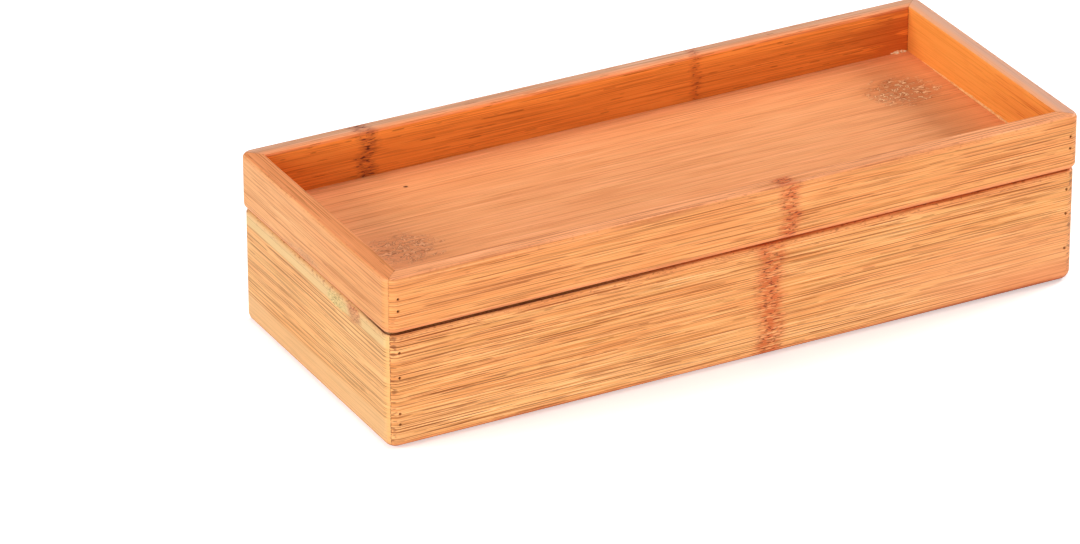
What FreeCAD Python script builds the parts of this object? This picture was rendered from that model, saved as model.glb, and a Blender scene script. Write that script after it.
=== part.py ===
import FreeCAD, Part
import math
import os

from FreeCAD import Vector

# A bamboo tea bag box: an open base with three compartments, closed by a lid that is also
# a shallow serving tray. The lid lifts straight off.
# Millimetres. The box stands on z = 0, centred on the Z axis. Its long side runs along X
# and its front faces -Y.

# Lid, which gives the outline of the closed box
lid_length = 240.0        # along X
lid_depth = 100.0         # along Y
lid_wall = 6.0            # thickness of the lid's four rails
tray_recess = 15.5        # from the rim down to the tray's floor
tongue_thickness = 3.3    # edge of the tray's floor panel, held in a rabbet of the rails
tongue_let_in = 3.0       # how far that edge goes into the rails
seam_gap = 0.4            # the tongue rests on the base and holds the rails this far above it

# Base
base_height = 38.2        # from the underside to the seam below the lid
base_wall = 6.0           # thickness of the base's four boards
base_set_back = 0.5       # the base's faces lie this far inside the lid's
bottom_thickness = 4.0    # thickness of the bottom panel
bottom_let_in = 2.0       # how far the bottom panel goes into the boards

# Plug: the underside of the tray's floor panel, which seats the lid inside the base
plug_depth = 2.5          # how far it reaches below the seam
plug_gap = 0.5            # clearance between the plug and the base's boards

# Dividers, which stand on the bottom panel and part the compartments
divider_count = 2
divider_thickness = 4.0
divider_let_in = 1.5      # how far a divider's ends go into the front and back boards
divider_headroom = 0.5    # clearance between a divider and the plug above it

# Rounding of the arrises
foot_radius = 3.2         # round the underside
corner_softening = 0.6    # the upright corners are rounder than the foot by this much
base_seam_radius = 1.0    # below the seam
lid_seam_radius = 2.0     # above the seam
rim_radius = 1.3          # outside of the rim
mouth_radius = 0.5        # inside of the rim, of the base's mouth and on the dividers
plug_radius = 0.5         # lower edge of the plug

# Brads: headless pins that cross each mitre from the front or the back board
brad_diameter = 0.8
brad_length = 15.0
brad_point_length = 1.5   # tapered tip, part of the length
brad_point_diameter = 0.3
brad_sink = 0.7           # how far a brad is set below the face
brad_shift = 0.7          # the brads stand this far inside the middle of the end boards
brad_gap = 0.05           # clearance between a brad and its hole
base_brad_low = 11.8      # lowest one of the three at a corner of the base, above the underside
base_brad_high = 6.1      # highest one, below the seam
base_brad_step = 8.3      # from the highest one down to the middle one
extra_brad_drop = 3.6     # one more at the front left corner, below the lowest
lid_brad_rows = 2
lid_brad_low = 8.1        # lowest one, above the seam
lid_brad_high = 6.7       # highest one, below the rim

# Worked out from the sizes above
box_height = base_height + tongue_thickness + tray_recess
rail_bottom = base_height + seam_gap
corner_radius = foot_radius + corner_softening
base_length = lid_length - 2 * base_set_back
base_depth = lid_depth - 2 * base_set_back
base_inside_length = base_length - 2 * base_wall
base_inside_depth = base_depth - 2 * base_wall
lid_inside_length = lid_length - 2 * lid_wall
lid_inside_depth = lid_depth - 2 * lid_wall
plug_bottom = base_height - plug_depth
divider_top = plug_bottom - divider_headroom

cut_margin = 1.0          # cutters start this far outside the face that they open
level_tolerance = 0.001   # edges this close to a height lie at that height

UP = Vector(0, 0, 1)
CENTRE = Vector(0, 0, 0)
# Turn about Z that takes the front side to each side
SIDE_TURNS = {"front": 0, "right": 90, "back": 180, "left": 270}


def centred_box(length, depth, low, high):
    """Box centred on the Z axis, between two heights."""
    corner = Vector(-length / 2, -depth / 2, low)
    return Part.makeBox(length, depth, high - low, corner)


def round_edges(shape, radius, chosen):
    """Round the edges of a shape whose bounding box passes the test given."""
    edges = [edge for edge in shape.Edges if chosen(edge.BoundBox)]
    return shape.makeFillet(radius, edges)


def lies_at(height):
    """Test for an edge that lies level at a height."""
    def test(bounds):
        return abs(bounds.ZMin - height) + abs(bounds.ZMax - height) < level_tolerance
    return test


def is_upright(bounds):
    """Test for an edge that rises."""
    return bounds.ZLength > level_tolerance


def rounded_block(length, depth, low, high, lower_radius, upper_radius):
    """Outer form of the base or of the lid's frame, with all its outer arrises rounded."""
    block = centred_box(length, depth, low, high)
    block = round_edges(block, corner_radius, is_upright)
    block = round_edges(block, lower_radius, lies_at(low))
    return round_edges(block, upper_radius, lies_at(high))


def open_mouth(block, inside_length, inside_depth, low, high):
    """Cut the inside out of a block and ease the inner edge of its mouth."""
    inside = centred_box(inside_length, inside_depth, low - cut_margin, high + cut_margin)
    frame = block.cut(inside)

    def mouth_edge(bounds):
        within = bounds.XLength <= inside_length + level_tolerance
        within = within and bounds.YLength <= inside_depth + level_tolerance
        straight = min(bounds.XLength, bounds.YLength) < level_tolerance
        at_wall = abs(abs(bounds.Center.x) - inside_length / 2) < level_tolerance
        at_wall = at_wall or abs(abs(bounds.Center.y) - inside_depth / 2) < level_tolerance
        return within and straight and at_wall and lies_at(high)(bounds)

    return round_edges(frame, mouth_radius, mouth_edge)


def mitre_wedge(run, across, reach, low, high):
    """Wedge round the front board: its ends run at 45 degrees through the two corners."""
    outer = across / 2 + reach
    inner = across / 2 - reach
    corners = [
        Vector(-run / 2 - reach, -outer, low - cut_margin),
        Vector(run / 2 + reach, -outer, low - cut_margin),
        Vector(run / 2 - reach, -inner, low - cut_margin),
        Vector(-run / 2 + reach, -inner, low - cut_margin),
    ]
    outline = Part.Face(Part.makePolygon(corners + corners[:1]))
    return outline.extrude(UP * (high - low + 2 * cut_margin))


def mitred_boards(frame, length, depth, wall, low, high):
    """Part a frame into its four boards along the mitres, by side."""
    boards = {}
    for side, turn in SIDE_TURNS.items():
        sizes = (depth, length) if turn % 180 else (length, depth)
        wedge = mitre_wedge(*sizes, 2 * wall, low, high)
        wedge.rotate(CENTRE, UP, turn)
        boards[side] = frame.common(wedge).Solids[0]
    return boards


def brad(x, face_y, z):
    """One brad, driven inwards from the front or back face."""
    inwards = Vector(0, -math.copysign(1, face_y), 0)
    head = Vector(x, face_y, z) + inwards * brad_sink
    shank_length = brad_length - brad_point_length
    shank = Part.makeCylinder(brad_diameter / 2, shank_length, head, inwards)
    shoulder = head + inwards * shank_length
    point = Part.makeCone(
        brad_diameter / 2, brad_point_diameter / 2, brad_point_length, shoulder, inwards
    )
    return shank.fuse(point)


def brad_hole(x, face_y, z):
    """Hole for one brad, open at the face."""
    inwards = Vector(0, -math.copysign(1, face_y), 0)
    mouth = Vector(x, face_y, z) - inwards * cut_margin
    depth = cut_margin + brad_sink + brad_length + brad_gap
    return Part.makeCylinder(brad_diameter / 2 + brad_gap, depth, mouth, inwards)


def even_heights(lowest, highest, rows):
    """Heights spaced evenly from the lowest to the highest."""
    step = (highest - lowest) / (rows - 1)
    return [lowest + step * row for row in range(rows)]


def corner_places(length, depth, wall):
    """Where the brads stand in plan: near the middle of the end boards, at each corner."""
    places = {}
    for front_or_back, face_y in (("front", -depth / 2), ("back", depth / 2)):
        for left_or_right, side in (("left", -1), ("right", 1)):
            x = side * ((length - wall) / 2 - brad_shift)
            places[f"{front_or_back}_{left_or_right}"] = (x, face_y)
    return places


def base_brad_heights(corner):
    """Heights of the brads at one corner of the base."""
    highest = base_height - base_brad_high
    heights = [base_brad_low, highest - base_brad_step, highest]
    if corner == "front_left":
        heights.insert(0, base_brad_low - extra_brad_drop)
    return heights


def lid_brad_heights():
    """Heights of the brads at each corner of the lid."""
    lowest = base_height + lid_brad_low
    highest = box_height - lid_brad_high
    return even_heights(lowest, highest, lid_brad_rows)


def divider_block(index):
    """One divider before its top edges are eased, counted from the left."""
    gaps = divider_count + 1
    compartment = (base_inside_length - divider_count * divider_thickness) / gaps
    left = -base_inside_length / 2 + (index + 1) * compartment + index * divider_thickness
    depth = base_inside_depth + 2 * divider_let_in
    corner = Vector(left, -depth / 2, bottom_thickness)
    return Part.makeBox(divider_thickness, depth, divider_top - bottom_thickness, corner)


def divider(index):
    """One divider, with its two long top edges eased."""
    def long_top_edge(bounds):
        return bounds.XLength < level_tolerance and lies_at(divider_top)(bounds)
    return round_edges(divider_block(index), mouth_radius, long_top_edge)


def base_block():
    """Outer form of the base."""
    return rounded_block(base_length, base_depth, 0, base_height, foot_radius, base_seam_radius)


def bottom_panel_room():
    """Room that the bottom panel takes, let into the boards."""
    length = base_inside_length + 2 * bottom_let_in
    depth = base_inside_depth + 2 * bottom_let_in
    return centred_box(length, depth, 0, bottom_thickness)


def base_pieces():
    """Boards, bottom panel, dividers and brads of the base."""
    frame = open_mouth(base_block(), base_inside_length, base_inside_depth, 0, base_height)
    cutters = [bottom_panel_room()]
    cutters += [divider_block(index) for index in range(divider_count)]
    pieces = {}
    for corner, (x, face_y) in corner_places(base_length, base_depth, base_wall).items():
        heights = base_brad_heights(corner)
        cutters += [brad_hole(x, face_y, z) for z in heights]
        brads = [brad(x, face_y, z) for z in heights]
        pieces[f"base_brads_{corner}"] = Part.makeCompound(brads)
    frame = frame.cut(cutters)
    boards = mitred_boards(frame, base_length, base_depth, base_wall, 0, base_height)
    for side, board in boards.items():
        pieces[f"base_{side}_board"] = board
    for index in range(divider_count):
        pieces[f"base_divider_{index + 1}"] = divider(index)
    pieces["base_bottom_panel"] = bottom_panel_room().common(base_block()).Solids[0]
    return pieces


def tongue():
    """Upper layer of the tray's floor panel, let into the rails."""
    length = lid_inside_length + 2 * tongue_let_in
    depth = lid_inside_depth + 2 * tongue_let_in
    return centred_box(length, depth, base_height, base_height + tongue_thickness)


def plug():
    """Lower layer of the tray's floor panel, which seats inside the base."""
    length = base_inside_length - 2 * plug_gap
    depth = base_inside_depth - 2 * plug_gap
    block = centred_box(length, depth, plug_bottom, base_height)
    return round_edges(block, plug_radius, lies_at(plug_bottom))


def lid_pieces():
    """Rails, floor panel and brads of the tray lid."""
    block = rounded_block(
        lid_length, lid_depth, rail_bottom, box_height, lid_seam_radius, rim_radius
    )
    frame = open_mouth(block, lid_inside_length, lid_inside_depth, rail_bottom, box_height)
    cutters = [tongue()]
    pieces = {}
    for corner, (x, face_y) in corner_places(lid_length, lid_depth, lid_wall).items():
        cutters += [brad_hole(x, face_y, z) for z in lid_brad_heights()]
        brads = [brad(x, face_y, z) for z in lid_brad_heights()]
        pieces[f"tray_brads_{corner}"] = Part.makeCompound(brads)
    frame = frame.cut(cutters)
    rails = mitred_boards(frame, lid_length, lid_depth, lid_wall, rail_bottom, box_height)
    for side, rail in rails.items():
        pieces[f"tray_{side}_rail"] = rail
    pieces["tray_floor_panel"] = tongue().fuse(plug()).removeSplitter().Solids[0]
    return pieces


def main():
    """Build every piece and write one STEP file for each."""
    os.makedirs("parts", exist_ok=True)
    pieces = {**base_pieces(), **lid_pieces()}
    for name, shape in pieces.items():
        solids = len(shape.Solids)
        print(f"{name}: {solids} solid(s), {shape.Volume:.1f} mm3, valid {shape.isValid()}")
        shape.exportStep(f"parts/{name}.step")


main()
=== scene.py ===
"""Dresses the bamboo tea bag box: boards, rails, brads, glue, studio light and camera."""

import logging
import math
from abc import ABC, abstractmethod
from dataclasses import dataclass
from enum import Enum
from typing import Any, ClassVar, Self

import bmesh
import bpy
from mathutils import Matrix, Vector, noise


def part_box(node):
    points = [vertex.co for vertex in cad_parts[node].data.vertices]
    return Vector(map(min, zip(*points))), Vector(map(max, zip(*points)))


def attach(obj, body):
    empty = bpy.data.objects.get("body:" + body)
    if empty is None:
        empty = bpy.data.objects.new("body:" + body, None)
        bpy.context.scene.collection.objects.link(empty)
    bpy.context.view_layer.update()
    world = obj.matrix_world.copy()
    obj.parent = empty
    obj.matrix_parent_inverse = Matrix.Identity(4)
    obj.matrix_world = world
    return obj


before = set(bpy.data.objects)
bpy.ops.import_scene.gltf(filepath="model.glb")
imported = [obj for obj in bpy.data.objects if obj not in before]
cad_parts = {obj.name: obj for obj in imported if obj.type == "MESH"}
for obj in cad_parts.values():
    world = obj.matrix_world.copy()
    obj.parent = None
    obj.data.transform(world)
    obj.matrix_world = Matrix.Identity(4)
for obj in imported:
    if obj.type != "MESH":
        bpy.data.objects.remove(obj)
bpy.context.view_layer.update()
LOG = logging.getLogger("tea_box")
MM = 0.001  # one millimetre in metres
FAR = 1000.0  # millimetres, past every piece
FLAT_FROM = 0.7  # how level a face is before its grain is read from above
RIGHT, BACK, UP = Vector((1, 0, 0)), Vector((0, 1, 0)), Vector((0, 0, 1))

Socket = bpy.types.NodeSocket
Sockets = bpy.types.bpy_prop_collection
Node = bpy.types.Node
Material = bpy.types.Material
Feed = Socket | float | tuple[float, ...]
Colour = tuple[float, float, float, float]
Place = Sockets | dict[str, Feed]


def srgb(red: int, green: int, blue: int) -> Colour:
    """Turn a screen colour into the linear colour that a shader takes.

    Args:
        red: Red, 0 to 255.
        green: Green, 0 to 255.
        blue: Blue, 0 to 255.

    Returns:
        Linear red, green, blue and an alpha of 1.
    """
    def linear(value: int) -> float:
        """Undo the screen's curve for one of the three numbers."""
        share = value / 255
        return share / 12.92 if share <= 0.04045 else ((share + 0.055) / 1.055) ** 2.4
    return (linear(red), linear(green), linear(blue), 1.0)


# Node wiring


class Wiring:
    """Adds shader nodes to one tree and joins their sockets."""

    def __init__(self, tree: bpy.types.NodeTree) -> None:
        """Keep the tree that the nodes go into."""
        self.tree = tree

    def feed(self, socket: Socket, value: Feed) -> None:
        """Join a socket to another, or set its own value.

        Args:
            socket: The input socket.
            value: The socket or plain value that feeds it.
        """
        if isinstance(value, Socket):
            self.tree.links.new(value, socket)
        else:
            socket.default_value = value

    def fill(self, node: Node, feeds: dict[str | int, Feed]) -> None:
        """Feed several inputs of a node, by name or number."""
        for name, value in feeds.items():
            self.feed(node.inputs[name], value)

    def add(self, kind: str, feeds: dict[str | int, Feed], **settings: Any) -> Node:
        """Add a node.

        Args:
            kind: The node's type, without its ShaderNode prefix.
            feeds: What feeds its inputs, by name or number.
            **settings: The node's own properties.

        Returns:
            The node.
        """
        node = self.tree.nodes.new(f"ShaderNode{kind}")
        for name, value in settings.items():
            setattr(node, name, value)
        self.fill(node, feeds)
        return node

    def math(self, operation: str, first: Feed, second: Feed = 0.0) -> Socket:
        """Work out one number from two, by a Math node's operation."""
        return self.add("Math", {0: first, 1: second}, operation=operation).outputs[0]

    def times(self, first: Feed, *others: Feed) -> Socket:
        """Multiply numbers.

        Args:
            first: The first number.
            *others: The rest.

        Returns:
            The product.
        """
        for other in others:
            first = self.math("MULTIPLY", first, other)
        return first

    def plus(self, first: Feed, *others: Feed) -> Socket:
        """Add numbers up.

        Args:
            first: The first number.
            *others: The rest.

        Returns:
            The sum.
        """
        for other in others:
            first = self.math("ADD", first, other)
        return first

    def minus(self, first: Feed, second: Feed) -> Socket:
        """Take the second number from the first."""
        return self.math("SUBTRACT", first, second)

    def size(self, value: Feed) -> Socket:
        """Take a number without its sign."""
        return self.math("ABSOLUTE", value)

    def swing(self, value: Feed, reach: Feed) -> Socket:
        """Turn a noise of 0 to 1 into a swing about zero, of the reach given."""
        return self.times(self.minus(value, 0.5), reach)

    def ease(self, value: Feed, start: Feed, end: Feed) -> Socket:
        """Rise smoothly from 0 to 1 as a value goes from one limit to the other.

        Args:
            value: The value that is looked at.
            start: Where the mask is 0.
            end: Where it is 1. It may lie below the start.

        Returns:
            The mask.
        """
        feeds = {"Value": value, "From Min": start, "From Max": end}
        return self.add("MapRange", feeds, interpolation_type="SMOOTHSTEP").outputs["Result"]

    def join(self, first: Feed, second: Feed, third: Feed = 0.0) -> Socket:
        """Join three numbers into a vector."""
        return self.add("CombineXYZ", {0: first, 1: second, 2: third}).outputs[0]

    def lift(self, mask: Feed, least: float) -> Socket:
        """Squeeze a mask of 0 to 1 in between a least value and 1."""
        return self.plus(self.times(mask, 1.0 - least), least)

    def noise(self, vector: Feed, detail: float = 1.0, distortion: float = 0.0) -> Socket:
        """Smooth noise of about 0.2 to 0.8, with lumps about one unit wide."""
        feeds = {"Vector": vector, "Scale": 1.0, "Detail": detail, "Distortion": distortion}
        return self.add("TexNoise", feeds).outputs[0]

    def mix(self, share: Feed, first: Feed, second: Feed, blend: str = "MIX") -> Socket:
        """Mix two colours by a share."""
        feeds = {0: share, 6: first, 7: second}
        return self.add("Mix", feeds, data_type="RGBA", blend_type=blend).outputs[2]

    def place(self, scale: tuple[float, float, float], turn: float = 0.0) -> Socket:
        """Read where the shaded point lies on its piece, scaled, and turned about Z by degrees.

        Args:
            scale: What X, Y and Z are multiplied by.
            turn: The turn about Z, in degrees.

        Returns:
            The scaled and turned place.
        """
        feeds = {"Vector": self.add("TexCoord", {}).outputs["Object"], "Scale": scale,
                 "Rotation": (0.0, 0.0, math.radians(turn))}
        return self.add("Mapping", feeds).outputs[0]

    def bump(self, height: Feed, strength: float, distance: float) -> Socket:
        """Bend the surface's normal by a height, of a reach in millimetres."""
        feeds = {"Height": height, "Strength": strength, "Distance": distance * MM}
        return self.add("Bump", feeds).outputs["Normal"]


def new_material(name: str) -> tuple[Material, Wiring, Node]:
    """Start a material.

    Args:
        name: Its name.

    Returns:
        The material, its wiring and its shader.
    """
    material = bpy.data.materials.new(name)
    material.use_nodes = True
    return material, Wiring(material.node_tree), material.node_tree.nodes["Principled BSDF"]


# Shared effect groups


@dataclass(frozen=True, kw_only=True)
class Pattern(ABC):
    """A noise, with the limits of the mask or the reach of the sway that is made from it."""

    detail: float = 1.0
    start: float = 0.0
    end: float = 1.0
    reach: float = 0.0

    @abstractmethod
    def noise(self, w: Wiring, take: Place) -> Socket:
        """Wire the noise from the sockets that say where the shaded point lies."""

    def mask(self, w: Wiring, take: Place) -> Socket:
        """Wire a mask that rises as the noise goes from start to end."""
        return w.ease(self.noise(w, take), self.start, self.end)

    def sway(self, w: Wiring, take: Place) -> Socket:
        """Wire a swing about zero."""
        return w.swing(self.noise(w, take), self.reach)


@dataclass(frozen=True, kw_only=True)
class Streak(Pattern):
    """Noise drawn out along the grain, with the length and width of a streak in millimetres."""

    seed: float
    long: float
    wide: float

    def noise(self, w: Wiring, take: Place) -> Socket:
        """Wire the noise from Along, Across and a Seed, to which the streak's own is added."""
        along, across = w.times(take["Along"], 1 / self.long), w.times(take["Across"], 1 / self.wide)
        return w.noise(w.join(along, across, w.plus(take["Seed"], self.seed)), self.detail)


@dataclass(frozen=True, kw_only=True)
class Grit(Pattern):
    """Noise in space, with one scale for X and Y and another for Z."""

    aside: float
    upright: float

    def noise(self, w: Wiring, take: Place) -> Socket:
        """Wire the noise from X, Y and Z."""
        x, y, z = w.times(take["X"], self.aside), w.times(take["Y"], self.aside), take["Z"]
        return w.noise(w.join(x, y, w.times(z, self.upright)), self.detail)


class Effect(ABC):
    """A shader node group that several finishes share. It is built once."""

    title: ClassVar[str]
    takes: ClassVar[dict[str, float]]
    gives: ClassVar[tuple[str, ...]]

    @classmethod
    @abstractmethod
    def wire(cls, w: Wiring, take: Sockets) -> tuple[Socket, ...]:
        """Wire the inside of the group and return what feeds its outputs, in order."""

    @classmethod
    def group(cls) -> bpy.types.NodeTree:
        """Find the group, or build it the first time.

        Returns:
            The group.
        """
        known = bpy.data.node_groups.get(cls.title)
        if known:
            return known
        tree = bpy.data.node_groups.new(cls.title, "ShaderNodeTree")
        for name, start in cls.takes.items():
            socket = tree.interface.new_socket(name, in_out="INPUT", socket_type="NodeSocketFloat")
            socket.default_value = start
        for name in cls.gives:
            tree.interface.new_socket(name, in_out="OUTPUT", socket_type="NodeSocketFloat")
        w = Wiring(tree)
        made = cls.wire(w, tree.nodes.new("NodeGroupInput").outputs)
        w.fill(tree.nodes.new("NodeGroupOutput"), dict(zip(cls.gives, made)))
        return tree

    @classmethod
    def put(cls, w: Wiring, feeds: dict[str, Feed]) -> Sockets:
        """Place the group in another tree, feed its inputs and return its outputs."""
        return w.add("Group", feeds, node_tree=cls.group()).outputs


class FibreLines(Effect):
    """Thin lines along the grain, each in its own row, that fade in and out."""

    title = "fibre_lines"
    takes = {"Along": 0, "Across": 0, "Seed": 0, "Gap": 1.45, "Length": 35, "Cover": 0.5, "Width": 0.3}
    gives = ("Mask",)
    rows_sway = Streak(seed=0, long=90, wide=6, reach=1.6)
    rows_tremble = Streak(seed=7, long=12, wide=2, reach=0.3)
    stray = 0.6  # how far lines stray from the middle of their row, as a share of the row
    shift, apart = 97, 3.7  # how far rows are shifted, and lie apart, in the noise that hides parts of them
    hidden, bared, fade = 0.72, 0.44, 0.07  # noise that hides a line, how far Cover lowers it, soft end
    thin, varied = 0.3, 0.45  # least half width, and what luck adds, as shares of Width
    outer, inner = 1.25, 0.3  # where a line's soft edge begins and ends, in half widths
    faint = 0.5  # how strong the faintest row is

    @classmethod
    def wire(cls, w: Wiring, take: Sockets) -> tuple[Socket, ...]:
        """Wire the rows, their place, their width and where they are seen.

        Args:
            w: The group's wiring.
            take: The group's inputs.

        Returns:
            The mask of the lines.
        """
        along, across, seed, gap = (take[name] for name in ("Along", "Across", "Seed", "Gap"))
        placed = w.plus(across, cls.rows_sway.sway(w, take), cls.rows_tremble.sway(w, take))
        row = w.math("DIVIDE", placed, gap)
        strip = w.math("FLOOR", row)
        luck = w.add("TexWhiteNoise", {"Vector": w.join(strip, seed)}, noise_dimensions="2D")
        lucks = w.add("SeparateColor", {0: luck.outputs["Color"]}).outputs
        inside = w.minus(w.math("FRACT", row), 0.5)
        off = w.size(w.minus(inside, w.swing(lucks[0], cls.stray)))
        spot = w.join(w.plus(w.math("DIVIDE", along, take["Length"]), w.times(lucks[1], cls.shift)),
                      w.times(strip, cls.apart), seed)
        limit = w.minus(cls.hidden, w.times(take["Cover"], cls.bared))
        seen = w.ease(w.noise(spot), limit, w.plus(limit, cls.fade))
        half = w.times(w.math("DIVIDE", take["Width"], gap), w.plus(w.times(lucks[2], cls.varied), cls.thin))
        line = w.ease(off, w.times(half, cls.outer), w.times(half, cls.inner))
        return (w.times(line, seen, w.lift(luck.outputs["Value"], cls.faint)),)


class BambooFibres(Effect):
    """All that runs along the grain: lines, hairs, short dashes, tone zones and fine streaks."""

    title = "bamboo_fibres"
    takes = {"Along": 0, "Across": 0, "Seed": 0, "Line Cover": 0.55, "Dash Cover": 0.3}
    gives = ("Lines", "Hairs", "Dashes", "Zone", "Gold", "Soft", "Fine")
    kinds = (  # lines, faint lines and dashes: seed, gap, length and width
        (0, 1.25, 34.0, 0.36),
        (13, 0.78, 24.0, 0.3),
        (29, 1.0, 9.0, 0.38),
    )
    faint_cover, faint_share = 0.5, 0.75
    hairs = Streak(seed=61, long=60, wide=0.36, detail=2, start=0.5, end=0.62)
    bunches = Streak(seed=71, long=40, wide=3.5, start=0.36, end=0.56)
    zone = Streak(seed=3, long=60, wide=4.5, detail=2, start=0.38, end=0.64)
    gold = Streak(seed=41, long=36, wide=2.4, detail=2, start=0.42, end=0.66)
    soft = Streak(seed=53, long=34, wide=1.1, detail=2)
    fine = Streak(seed=5, long=36, wide=0.36, detail=2)

    @classmethod
    def wire(cls, w: Wiring, take: Sockets) -> tuple[Socket, ...]:
        """Wire the lines, the hairs, the dashes, the two tones and the two fine noises.

        Args:
            w: The group's wiring.
            take: The group's inputs.

        Returns:
            What the group gives, in its order.
        """
        covers = (take["Line Cover"], cls.faint_cover, take["Dash Cover"])
        clear, faint, dashes = (
            FibreLines.put(w, {"Along": take["Along"], "Across": take["Across"], "Gap": gap, "Width": width,
                               "Seed": w.plus(take["Seed"], seed), "Length": length, "Cover": cover})["Mask"]
            for (seed, gap, length, width), cover in zip(cls.kinds, covers))
        lines = w.math("MAXIMUM", clear, w.times(faint, cls.faint_share))
        hairs = w.times(cls.hairs.mask(w, take), cls.bunches.mask(w, take))
        return (lines, hairs, dashes, cls.zone.mask(w, take), cls.gold.mask(w, take),
                cls.soft.noise(w, take), cls.fine.noise(w, take))


class BambooNode(Effect):
    """A node of the cane: a reddish ring across the board with dark specks in it."""

    title = "bamboo_node"
    takes = {"Along": 0, "Across": 0, "Seed": 0, "At": 0, "Width": 8}
    gives = ("Ring", "Specks")
    bends, bend = 0.14, 7.0  # bends of the ring per millimetre of width, and how far they reach
    ripples, ripple, ripple_row = 0.8, 5.0, 5.0  # its finer ripples, and where they lie in the noise
    edge, core = 0.8, 0.1  # where the ring's soft edge begins and ends, as shares of Width
    patches = Streak(seed=9, long=4.6, wide=1.0, detail=2, start=0.36, end=0.58)
    crumbs = Streak(seed=17, long=1.9, wide=0.5, start=0.56, end=0.62)
    ring_least, specks_least = 0.25, 0.4  # what is left of them between the patches

    @classmethod
    def wire(cls, w: Wiring, take: Sockets) -> tuple[Socket, ...]:
        """Wire the wandering ring and the specks in it.

        Args:
            w: The group's wiring.
            take: The group's inputs.

        Returns:
            The ring and the specks.
        """
        along, across, seed, width = (take[name] for name in ("Along", "Across", "Seed", "Width"))
        bent = w.swing(w.noise(w.join(w.times(across, cls.bends), seed)), cls.bend)
        rippled = w.swing(w.noise(w.join(w.times(across, cls.ripples), seed, cls.ripple_row)), cls.ripple)
        away = w.size(w.plus(w.minus(along, take["At"]), bent, rippled))
        ring = w.ease(away, w.times(width, cls.edge), w.times(width, cls.core))
        patches = cls.patches.mask(w, take)
        specks = w.times(ring, cls.crumbs.mask(w, take), w.lift(patches, cls.specks_least))
        return (w.times(ring, w.lift(patches, cls.ring_least)), specks)


class ScrapedPatch(Effect):
    """An oval patch with curled marks, where a node was planed or a knot lies."""

    title = "scraped_patch"
    takes = {"Along": 0, "Across": 0, "Seed": 0, "Middle": 0, "Row": 0, "Long": 8, "Wide": 4}
    gives = ("Patch", "Curls", "Rims", "Specks")
    ragged = Streak(seed=0, long=5, wide=2.5, detail=2, reach=1.3)
    edge, heart = 1.0, 0.45  # where the oval's soft edge begins and ends, as shares of its radius
    swirl_along, swirl_across = 0.33, 0.44  # lumps of the swirl per millimetre
    swirl_detail, swirl_twist = 0.6, 1.1
    break_along, break_across = 0.4, 0.55  # lumps of the breaks per millimetre
    broken, whole = 0.38, 0.48  # noise at which a curl begins, and shows in full
    curl, curl_core = 0.05, 0.02  # the soft edge of a curl, as heights in the swirl
    rim, rim_core = 0.12, 0.06  # the same of the dark rim round it
    bared, bared_core = 0.055, 0.03  # the same of what the rim leaves free for the curl
    dots = Streak(seed=23, long=1.1, wide=0.55, start=0.58, end=0.66)

    @classmethod
    def wire(cls, w: Wiring, take: Sockets) -> tuple[Socket, ...]:
        """Wire the ragged oval, the curled marks, the dark rims round them and the dots.

        Args:
            w: The group's wiring.
            take: The group's inputs.

        Returns:
            The patch, the curls, their rims and the dots.
        """
        along, across, seed = (take[name] for name in ("Along", "Across", "Seed"))
        far_along = w.math("DIVIDE", w.minus(along, take["Middle"]), take["Long"])
        far_across = w.math("DIVIDE", w.minus(across, take["Row"]), take["Wide"])
        far = w.math("SQRT", w.plus(w.times(far_along, far_along), w.times(far_across, far_across)))
        patch = w.ease(w.plus(far, cls.ragged.sway(w, take)), cls.edge, cls.heart)
        lumps = w.join(w.times(along, cls.swirl_along), w.times(across, cls.swirl_across), seed)
        off = w.size(w.minus(w.noise(lumps, cls.swirl_detail, cls.swirl_twist), 0.5))
        breaks = w.join(w.times(along, cls.break_along), w.times(across, cls.break_across), seed)
        seen = w.ease(w.noise(breaks), cls.broken, cls.whole)
        curls = w.times(w.ease(off, cls.curl, cls.curl_core), patch, seen)
        outside = w.minus(1.0, w.ease(off, cls.bared, cls.bared_core))
        rims = w.times(w.ease(off, cls.rim, cls.rim_core), patch, seen, outside)
        return (patch, curls, rims, w.times(cls.dots.mask(w, take), patch))


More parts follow.
